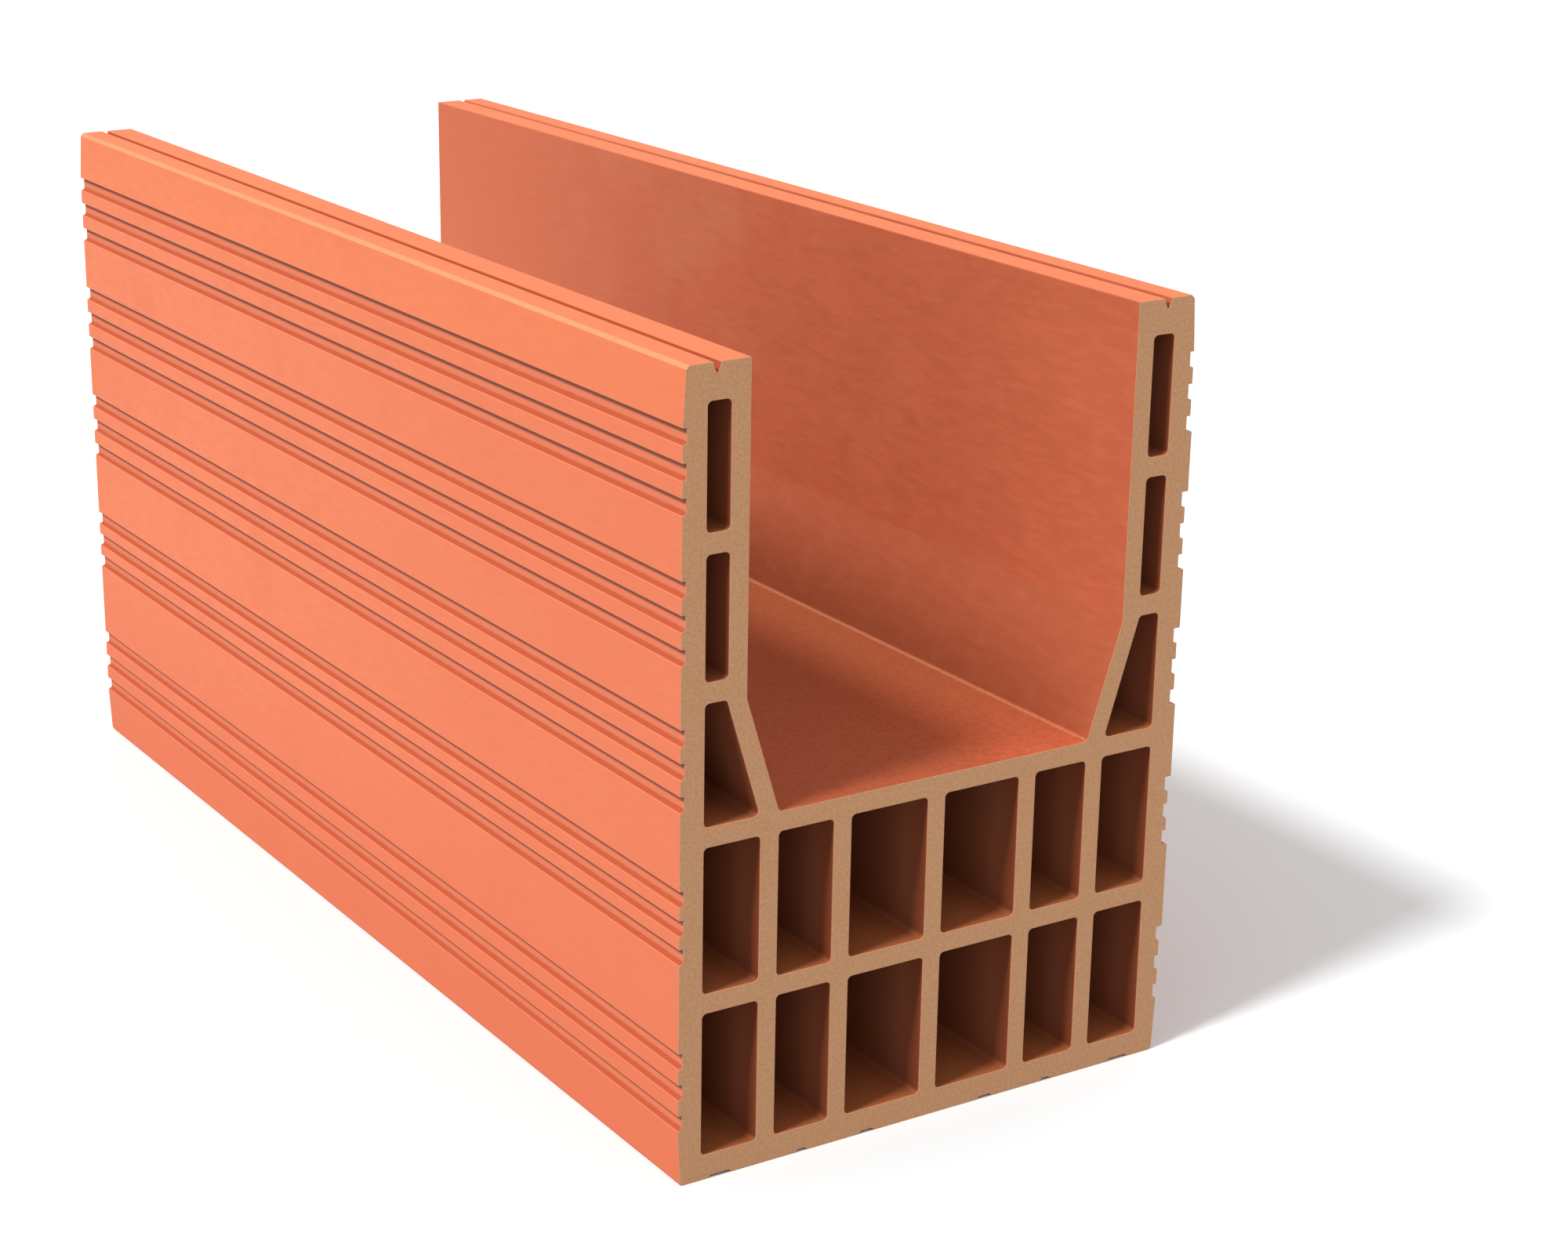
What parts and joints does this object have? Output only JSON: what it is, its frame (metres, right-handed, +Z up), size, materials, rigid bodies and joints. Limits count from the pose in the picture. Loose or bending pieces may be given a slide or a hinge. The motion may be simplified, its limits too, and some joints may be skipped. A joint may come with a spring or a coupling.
{
  "type": "lintel block",
  "caption": "U-shaped hollow clay lintel block with an open channel over a base of through cells, grooved long faces and notched leg tops.",
  "frame": {"origin": "middle of the underside, at half the length and half the overall width", "axes": "+Z up, +Y along the extrusion and the channel, +X across the block"},
  "size_m": [0.2, 0.497, 0.274],
  "materials": {
    "fired_clay": "unglazed fired clay, matt; long faces as extruded, end faces wire-cut and paler"
  },
  "bodies": {
    "root": {"lintel_block": "fired_clay"}
  },
  "joints": []
}
